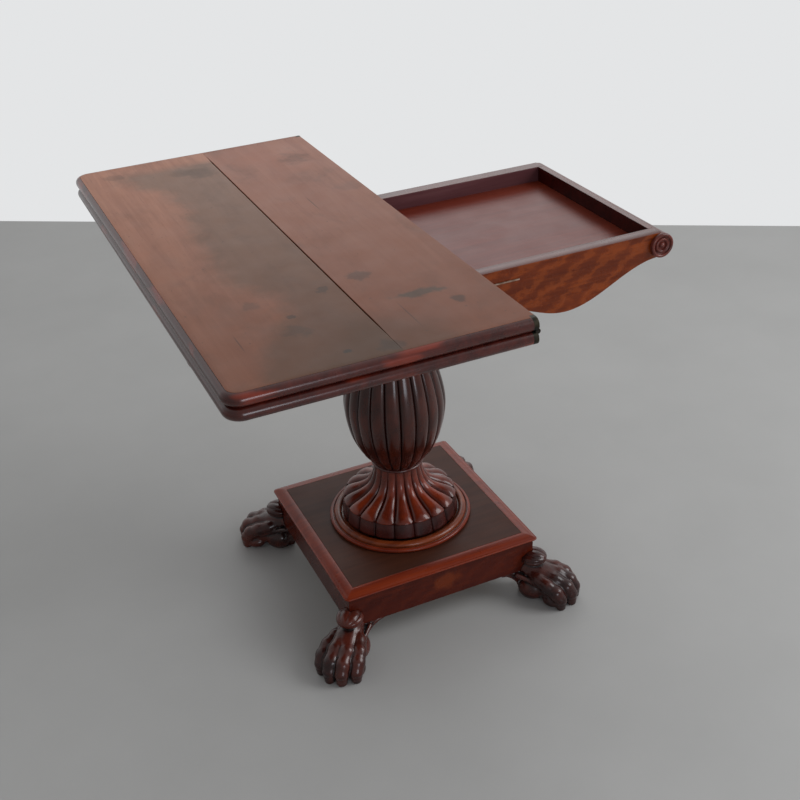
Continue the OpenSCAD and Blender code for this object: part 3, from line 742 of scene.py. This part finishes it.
def make_column_ring(material, bead_material):
    low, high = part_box("column_ring")
    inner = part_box("column_foot")[1].x
    torus = arc((high.x - 15.5 * MM, high.z - 7 * MM), 7 * MM, 165, -15, 18)
    bead = arc((high.x - 4 * MM, low.z + 4 * MM), 4 * MM, 120, -80, 14)
    seat = [(inner - 3 * MM, low.z), (inner - 3 * MM, high.z - 6 * MM), (inner + 0.8 * MM, high.z - 6 * MM)]
    quirk = [(high.x - 8.2 * MM, high.z - 9.4 * MM), (high.x - 6.6 * MM, high.z - 9.6 * MM)]
    profile = np.vstack([seat, torus, quirk, bead])
    shape = turned(profile, 160, ring=True)
    piece = add_piece("column_ring_turning", shape, material, "column_ring", crease=50)
    change_faces(piece, bead_material, lambda face: face.center.xy.length > high.x - 7.0 * MM)


def make_column_cap(material):
    low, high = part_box("column_cap")
    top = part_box("head_block")[0].z
    flare_r = high.x
    collar = arc((48 * MM, low.z + 6 * MM), 6 * MM, -90, 90, 16)
    flare = smooth_curve([(45 * MM, low.z + 13.5 * MM), (47 * MM, low.z + 20 * MM),
                          (54 * MM, low.z + 27 * MM), (flare_r - 2 * MM, top - 6 * MM)], 6)
    profile = np.vstack([[(40 * MM, low.z)], collar, flare, [(flare_r, top - 5 * MM), (flare_r, top)]])
    add_piece("column_cap_turning", turned(profile, 128), material, "column_cap")


# ------------------------ plinth and feet

def make_plinth_moulding(material):
    """The thumb moulding round the plinth, its nose rounded in plan at the corners."""
    low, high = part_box("plinth_edge_moulding")
    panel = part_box("plinth_top_panel")[1].x
    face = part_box("plinth_rail_right")[1].x
    out = high.x - panel
    lip = face - panel
    top = high.z
    nose_r = 1.5 * MM
    edge_z = top - 9.4 * MM
    thumb = [(0.6, 0.5), (3, 0.25), (6, 0.7), (10, 1.8), (14, 3.4), (17.5, 5.2), (20, 6.6)]
    thumb = [(away * MM, top - drop * MM) for away, drop in thumb]
    nose = [tuple(p) for p in arc((out - nose_r, edge_z + nose_r), nose_r, 60, -85, 7)]
    section = [(0.0, low.z), (0.0, top)] + thumb + nose + [(lip + 2.5 * MM, edge_z)]
    section += [(lip, edge_z - 1.2 * MM), (lip, low.z)]
    round_r = 8 * MM
    verts = []
    for corner, (side_x, side_y) in enumerate([(1, 1), (-1, 1), (-1, -1), (1, -1)]):
        for turn in np.radians(np.linspace(0, 90, 7) + 90 * corner):
            for away, height in section:
                square = min(away, out - round_r)
                fan = max(away - out + round_r, 0.0)
                verts.append((side_x * (panel + square) + math.cos(turn) * fan,
                              side_y * (panel + square) + math.sin(turn) * fan, height))
    faces = grid_faces(len(verts) // len(section), len(section), ring=True)
    add_piece("plinth_moulding_wood", (verts, faces), material, "plinth_edge_moulding", crease=30)


# The feet are carved in millimetres
PLINTH_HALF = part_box("plinth_rail_right")[1].x / MM
PLINTH_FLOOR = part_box("plinth_bottom_board")[0].z / MM
BRACKET_START = 118
BRACKET_LENGTH = 44
BRACKET_DROP = 46
BUD_PLACE = (258, 0, 82)
BUD_RADII = (27, 24.5, 14.5)
FLUTE_DEPTH = 2.1
FOOT_LOW = (186, -64, -3)
FOOT_HIGH = (358, 64, 110)


def bracket(p):
    """The bracket under one side of the plinth, with two reeds along its lower edge."""
    x, y, z = p[..., 0], p[..., 1], p[..., 2]
    drop = np.clip((x - BRACKET_START) / BRACKET_LENGTH, 0, 1.4)
    curve = PLINTH_FLOOR - 3 - BRACKET_DROP * drop ** 2.1
    above = (z - curve) / np.sqrt(1 + (2.2 * drop) ** 2)
    reeds = 1.3 * np.exp(-((above - 5.0) / 1.5) ** 2) + 1.1 * np.exp(-((above - 11.5) / 1.5) ** 2)
    face = y - PLINTH_HALF + 0.8 + reeds
    back = PLINTH_HALF - 20 - y
    side = np.maximum(x - 190, BRACKET_START + 1 - x)
    return np.maximum.reduce([face, back, -above, side, z - PLINTH_FLOOR])


def paw(p):
    """Distance to the paw, +X out along the plinth's diagonal. Its two halves are alike."""
    q = p.copy()
    q[..., 1] = np.abs(q[..., 1])
    ankle = joined(limb(p, (258, 0, 58), (300, 0, 30), 15, 24),
                   limb(p, (245, 0, 58), (285, 0, 40), 19, 22), 8)
    instep = joined(ankle, ball(p, (298, 0, 24), (36, 34, 24)), 10)
    front_toe = chain(q, [(258, 5, 60, 8), (276, 8, 53, 11), (303, 10.3, 45.5, 12.8), (324, 10.8, 35, 13.2),
                          (332.5, 11, 22, 12.8)], 4)
    front_claw = chain(q, [(333.5, 11, 12, 11.2), (334.5, 11.3, 5, 9.2)], 3)
    side_toe = chain(q, [(256, 13, 55, 8), (273, 22, 49, 11), (293, 29, 42.5, 12.5), (310, 31.8, 33, 13),
                         (318.5, 32.2, 21, 12.8)], 4)
    side_claw = chain(q, [(319.5, 32.2, 11, 11), (320, 32.6, 5, 9)], 3)
    heel = ball(q, (260, 15, 20), (25, 18, 22))
    pad = ball(q, (305, 24, 12), (22, 18, 14))
    sinew = chain(q, [(235, 26, 52, 4), (262, 24, 42, 4.5), (288, 32, 34, 4.5)], 3)
    made = joined(instep, heel, 4)
    made = joined(made, sinew, 3)
    made = joined(made, pad, 2.2)
    toes = joined(joined(front_toe, side_toe, 3.0), made, 3.0)
    return joined(np.minimum(front_claw, side_claw), toes, 1.6)


def bud(p):
    """The fluted bud that hides the top of the leg at the corner of the plinth."""
    away = p - np.array(BUD_PLACE)
    turn = np.arctan2(away[..., 2] * 1.7, away[..., 1])
    along = np.clip((away[..., 0] + 26) / 53, 0, 1)
    flute = FLUTE_DEPTH * np.sin(math.pi * along) ** 0.6 * np.abs(np.sin(4 * turn + 0.4)) ** 0.7
    return ball(p, BUD_PLACE, BUD_RADII) + FLUTE_DEPTH - flute


def foot_distance(p):
    """The whole foot: +X out along the diagonal, cut off at the floor and by the plinth."""
    root = math.sqrt(0.5)
    square = np.stack([(p[..., 0] - p[..., 1]) * root, (p[..., 0] + p[..., 1]) * root, p[..., 2]], axis=-1)
    swapped = square[..., [1, 0, 2]]
    made = joined(paw(p), np.minimum(bracket(square), bracket(swapped)), 5)
    made = joined(made, bud(p), 1.8)
    plinth = np.maximum.reduce([square[..., 0] - PLINTH_HALF - 0.2, square[..., 1] - PLINTH_HALF - 0.2,
                                PLINTH_FLOOR - p[..., 2]])
    return np.maximum.reduce([made, -plinth, 0.2 - p[..., 2]])


def make_feet(material):
    step = 1.5
    verts, faces, relief = carved(foot_distance, FOOT_LOW, FOOT_HIGH, step)
    verts[:, 2] = np.maximum(verts[:, 2], 0.0)
    for node, turn in (("foot_rear_right", 45), ("foot_rear_left", 135), ("foot_front_left", 225),
                       ("foot_front_right", 315)):
        a = math.radians(turn)
        x = verts[:, 0] * math.cos(a) - verts[:, 1] * math.sin(a)
        y = verts[:, 0] * math.sin(a) + verts[:, 1] * math.cos(a)
        placed = np.column_stack([x, y, verts[:, 2]]) * MM
        add_piece(node + "_carving", (placed, faces, relief), material, node, crease=75)


# ------------------------ the woods and metals of this table

# The deep, middle and pale tones of the leaves where no sun fell
UNFADED = ((74, 30, 18), (92, 38, 22), (112, 50, 30))
CRACK_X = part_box("upper_board_wide")[1].x + 0.8 * MM
# The bleached band beside the crack: how far it runs, and its left edge from its near end to its far end
BAND_NEAR = -0.44
BAND_FAR = 0.43
BAND_LEFT = -0.36
BAND_EDGE = [(0.0, 0.05), (0.08, 0.12), (0.16, 0.33), (0.26, 0.52), (0.32, 0.36), (0.4, 0.29), (0.53, 0.29),
             (0.69, 0.38), (0.8, 0.41), (0.92, 0.17), (1.0, 0.05)]
# Scratches along the grain: x, y and length
SCRATCHES = [(-0.116, -0.343, 0.05), (-0.35, -0.31, 0.03), (-0.08, 0.12, 0.04)]
# Ink and water spots: x, y, radius and strength
SPOTS = [(-0.202, 0.385, 0.042, 0.4), (-0.349, 0.43, 0.02, 0.3), (-0.023, 0.361, 0.04, 0.4),
         (-0.23, -0.40, 0.007, 0.8), (-0.036, -0.331, 0.013, 0.6), (-0.30, -0.21, 0.016, 0.3),
         (-0.262, -0.27, 0.008, 0.6), (-0.19, -0.21, 0.012, 0.5), (-0.13, -0.19, 0.017, 0.5),
         (-0.27, -0.31, 0.022, 0.4), (-0.174, -0.41, 0.02, 0.5), (0.009, 0.168, 0.03, 0.2)]


def faded_top(limits):
    """Sun-faded boards: terracotta brown, with painted shade darkening them towards the camera's end in place
    of the wall's reflection that lightens the far end, a grey-brown band beside the crack, scratches and ink
    spots. Below the top's own face the wood is unfaded."""
    shader = Shader("faded_top")
    top = limits["top"]
    colour, height = wood_layers(shader, "y", ((158, 106, 84), (176, 122, 98), (192, 138, 112)), 0.5)
    cloud = shader.noise(shader.stretched((1.0, 0.45, 1.0)), 5.5, 4.0, 0.6, 0.4)
    colour = shader.tint(colour, shader.ramp(cloud, 0.5, 0.72), 0.45, tone(180, 110, 80))
    right = shader.math("GREATER_THAN", shader.axis("X"), CRACK_X)
    colour = shader.tint(colour, right, 0.45, tone(130, 80, 66))
    # Painted shade: the boards darken towards the camera's end, standing in for the wall's reflection on the
    # far end
    painted_near_shade = shader.ramp(shader.axis("Y"), 0.40, -0.34, smooth=False)
    colour = shader.tint(colour, painted_near_shade, 0.85, tone(108, 58, 32))
    edge = shader.curve(shader.ramp(shader.axis("Y"), BAND_NEAR, BAND_FAR, smooth=False), BAND_EDGE)
    edge = shader.scaled(edge, BAND_LEFT, CRACK_X)
    edge = shader.math("ADD", edge, shader.scaled(shader.noise(shader.place, 22.0, 5.0, 0.7), -0.034, 0.034))
    band = shader.ramp(shader.math("SUBTRACT", shader.axis("X"), edge), -27.0 * MM, 29.0 * MM)
    band = shader.math("MULTIPLY", band, shader.math("LESS_THAN", shader.axis("X"), CRACK_X))
    band = shader.math("MULTIPLY", band, shader.ramp(shader.axis("Y"), 0.445, 0.40))
    mottle = shader.noise(shader.stretched((1.0, 0.6, 1.0)), 17.0, 5.0, 0.65, 0.4)
    # The band's grey also darkens towards the camera's end with the same painted shade
    grey = shader.mix(painted_near_shade, tone(122, 97, 81), tone(84, 52, 28))
    colour = shader.tint(colour, band, 0.76, grey)
    olive = shader.blotch((-0.17, -0.43, top), (0.15, 0.12, 1.0), 0.5)
    colour = shader.tint(colour, olive, 0.5, tone(64, 42, 20))
    colour = shader.tint(colour, shader.ramp(mottle, 0.45, 0.8), 0.3, tone(70, 48, 34))
    dull = shader.noise(shader.stretched((1.0, 0.35, 1.0)), 4.0, 4.0, 0.6, 0.6)
    colour = shader.tint(colour, shader.ramp(dull, 0.56, 0.75), 0.3, tone(84, 54, 38))
    for x, y, length in SCRATCHES:
        scratch = shader.blotch((x, y, top), (1.1 * MM, length, 1.0), 0.15)
        colour = shader.tint(colour, scratch, 0.6, tone(58, 40, 30))
    for x, y, radius, strength in SPOTS:
        spot = shader.blotch((x, y, top), (radius, radius, 1.0), 1.3)
        colour = shader.tint(colour, spot, strength, tone(48, 38, 30))
    green = shader.blotch((-0.075, -0.287, top), (0.04, 0.015, 1.0), 1.0)
    colour = shader.tint(colour, green, 0.6, tone(44, 52, 44))
    speck = shader.ramp(shader.noise(shader.place, 150.0, 2.0, 0.5), 0.70, 0.76)
    colour = shader.tint(colour, speck, 0.55, tone(70, 50, 38))
    under = shader.math("LESS_THAN", shader.axis("Z"), top - 1.2 * MM)
    unfaded, _ = wood_layers(shader, "y", UNFADED)
    colour = shader.mix(under, colour, unfaded)
    return polished(shader, colour, height, rough=0.48, coat=0.0, bump=0.1, specular=0.25)


def segmented_bead():
    """Dark bead with stretches of redder wood along it."""
    shader = Shader("bead_wood")
    colour, height = wood_layers(shader, "y", ((56, 18, 14), (74, 25, 18), (98, 36, 24)), 0.6)
    patch = shader.noise(shader.stretched((1.0, 1.0, 5.0)), 9.0, 2.0, 0.5)
    colour = shader.tint(colour, shader.ramp(patch, 0.54, 0.64), 0.65, tone(134, 46, 24))
    return polished(shader, colour, height, rough=0.24, coat=0.2, specular=0.5)


def rail_veneer():
    """The plinth's veneer: plain and dark red, with a small flame in the middle of the front."""
    shader = Shader("plinth_veneer")
    low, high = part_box("plinth_rail_front")
    colour, height = wood_layers(shader, "x", ((62, 15, 6), (74, 21, 8), (96, 34, 13)), figure=0.22)
    heart = (0.02 * high.x, low.y, low.z + 0.6 * (high.z - low.z))
    flame = shader.blotch(heart, (38 * MM, 38 * MM, 20 * MM), 0.9)
    colour = shader.tint(colour, flame, 0.5, tone(122, 52, 18))
    return polished(shader, colour, height, rough=0.26, coat=0.06, specular=0.2)


def aged_metal(name, colour, dark, rough, metallic):
    shader = Shader(name)
    patch = shader.noise(shader.place, 60.0, 4.0, 0.6)
    fine = shader.noise(shader.place, 700.0, 3.0, 0.6)
    mixed = shader.mix(shader.ramp(patch, 0.4, 0.65), tone(*colour), tone(*dark))
    gloss = shader.math("ADD", rough, shader.scaled(fine, -0.08, 0.12))
    return shader.finish(mixed, gloss, fine, 0.15, metallic=metallic)


RAIL_TONES = ((70, 26, 18), (90, 36, 24), (112, 48, 30))
# The grain's axis, the three tones, and what differs from the usual polish
PLAIN_WOODS = {
    "lower_leaf_wood": ("y", UNFADED, {}),
    "flame_veneer": ("x", ((88, 32, 10), (118, 49, 16), (148, 70, 26)),
                     {"figure": 0.38, "rough": 0.26, "specular": 0.2}),
    "rail_wood": ("x", RAIL_TONES, {"specular": 0.4}),
    "end_wood": ("y", RAIL_TONES, {"specular": 0.4}),
    # Painted shade and painted light in the well: the darkest tones below are for the walls inside it, and
    # the pinker ones after them for its back wall lit by the front window
    "wall_wood": ("x", ((44, 7, 5), (62, 12, 8), (80, 20, 13)),
                  {"rough": 0.36, "coat": 0.0, "specular": 0.15}),
    "lit_back_well_wall": ("x", ((84, 47, 50), (98, 60, 63), (112, 74, 75)), {"rough": 0.34, "coat": 0.0}),
    "well_wood": ("x", ((98, 33, 18), (106, 38, 21), (118, 46, 27)),
                  {"rough": 0.3, "coat": 0.0, "specular": 0.26}),
    "roundel_wood": ("x", ((82, 36, 30), (108, 50, 42), (128, 64, 52)), {}),
    "ring_wood": ("x", ((92, 36, 14), (120, 52, 20), (142, 66, 28)), {}),
    "moulding_wood": ("x", ((100, 32, 16), (118, 42, 20), (136, 54, 26)), {"specular": 0.22}),
    "plinth_top_wood": ("x", ((58, 29, 18), (68, 35, 21), (76, 40, 25)),
                        {"rough": 0.48, "coat": 0.0, "specular": 0.2}),
    "secondary_wood": ("x", ((142, 110, 74), (164, 130, 90), (182, 150, 110)), {"rough": 0.6, "coat": 0.0}),
}
# The grain's axis, the three tones, the tone of worn crowns, and what differs from the usual polish
CARVED_WOODS = {
    "turned_wood": ("z", ((42, 15, 11), (52, 19, 13), (64, 25, 16)), (76, 28, 16), {}),
    "drum_wood": ("z", ((34, 7, 6), (50, 11, 8), (62, 17, 11)), (72, 20, 12), {"rough": 0.26, "coat": 0.08}),
    "foot_lobe_wood": ("z", ((66, 19, 10), (88, 28, 13), (106, 38, 17)), (124, 44, 18),
                       {"rough": 0.24, "coat": 0.16}),
    "foot_wood": ("x", ((30, 11, 10), (44, 17, 15), (60, 25, 20)), (82, 33, 23),
                  {"rough": 0.24, "coat": 0.14}),
}
# The colour, the darker colour of its patches, the roughness and how metallic it is
METALS = {
    "brass": ((176, 142, 84), (110, 92, 60), 0.34, 1.0),
    "fillet_brass": ((198, 174, 158), (142, 118, 102), 0.42, 1.0),
    "hinge_brass": ((56, 50, 38), (32, 31, 26), 0.45, 0.8),
    "iron": ((70, 66, 64), (48, 40, 36), 0.5, 1.0),
}


def make_materials():
    """The material of each slot, and of the places that look unlike the rest of their slot."""
    made = {"top_wood": faded_top(leaf_limits("upper")), "edging_wood": segmented_bead(),
            "plinth_veneer": rail_veneer()}
    for name, (along, tones, polish) in PLAIN_WOODS.items():
        made[name] = plain_wood(name, along, tones, **polish)
    for name, (along, tones, worn, polish) in CARVED_WOODS.items():
        made[name] = carved_wood(name, along, tones, worn, **polish)
    for name, look in METALS.items():
        made[name] = aged_metal(name, *look)
    return made


# ------------------------ putting it together

EASED = {
    "back_rail": "rail_wood", "end_rail_left": "end_wood", "end_rail_right": "end_wood",
    "bolster_left": "end_wood", "bolster_right": "end_wood", "well_floor": "well_wood",
    "well_divider": "end_wood", "plinth_rail_front": "plinth_veneer", "plinth_rail_back": "plinth_veneer",
    "plinth_rail_left": "plinth_veneer", "plinth_rail_right": "plinth_veneer",
    "plinth_top_panel": "plinth_top_wood", "head_block": "secondary_wood", "bearer_left": "secondary_wood",
    "bearer_right": "secondary_wood", "lower_panel": "lower_leaf_wood",
}


# The side of each piece that lines the well, which takes painted shade, and on the back rail painted light
WELL_SIDES = {"back_rail": (0.0, -1.0, 0.0), "end_rail_left": (1.0, 0.0, 0.0),
              "end_rail_right": (-1.0, 0.0, 0.0), "well_divider": (1.0, 0.0, 0.0)}


def finish_cad_nodes(materials):
    """Every CAD node that still shows gets the material of its slot, with two other colours of brass."""
    for node, item in frame["nodes"].items():
        name = SLOT_OF[node]
        if node.startswith("hinge_plate"):
            name = "hinge_brass"
        elif node == "apron_fillet":
            name = "fillet_brass"
        item.data.materials.clear()
        item.data.materials.append(materials[name])


# Where the floor ends behind the table
FLOOR_EDGE = (Vector((-0.43, 2.314, 0.0)), Vector((1.79, 0.939, 0.0)))
FLOOR_SPAN = 4.0
FLOOR_DEPTH = 7.0


def add_floor():
    """A plain pale floor that ends behind the table."""
    shader = Shader("floor")
    grain = shader.noise(shader.place, 3.0, 6.0, 0.6)
    colour = shader.mix(grain, tone(158, 157, 155), tone(172, 171, 169))
    material = shader.finish(colour, 0.7, grain, 0.05)
    left, right = FLOOR_EDGE
    along = (right - left).normalized()
    forward = Vector((along.y, -along.x, 0.0))
    corners = [left - along * FLOOR_SPAN, right + along * FLOOR_SPAN]
    corners += [corner + forward * FLOOR_DEPTH for corner in reversed(corners)]
    mesh = bpy.data.meshes.new("floor")
    mesh.from_pydata([tuple(c) for c in corners], [], [(0, 1, 2, 3)])
    mesh.materials.append(material)
    put("floor", mesh)


def build():
    add_camera()
    add_lights()
    add_world()
    add_floor()
    materials = make_materials()
    finish_cad_nodes(materials)
    make_edging("upper", materials["edging_wood"], materials["top_wood"])
    make_edging("lower", materials["edging_wood"], materials["lower_leaf_wood"])
    make_upper_boards(materials["top_wood"])
    apron = make_apron(materials["flame_veneer"])
    face_with(apron, materials["rail_wood"], (0.0, 0.0, 1.0))
    # The apron's inner side lines the well and takes its painted shade
    face_with(apron, materials["wall_wood"], (0.0, 1.0, 0.0))
    make_roundel("roundel_left", materials["roundel_wood"])
    make_roundel("roundel_right", materials["roundel_wood"])
    make_vase(materials["turned_wood"])
    make_column_foot(materials["foot_lobe_wood"], materials["drum_wood"])
    make_neck_ring(materials["edging_wood"])
    make_column_ring(materials["ring_wood"], materials["moulding_wood"])
    make_column_cap(materials["edging_wood"])
    make_plinth_moulding(materials["moulding_wood"])
    make_feet(materials["foot_wood"])
    for node, name in EASED.items():
        piece = eased(node, materials[name])
        if node in WELL_SIDES:
            # The well's walls: painted shade, with painted light on the back rail's side
            name = "lit_back_well_wall" if node == "back_rail" else "wall_wood"
            face_with(piece, materials[name], WELL_SIDES[node])


build()
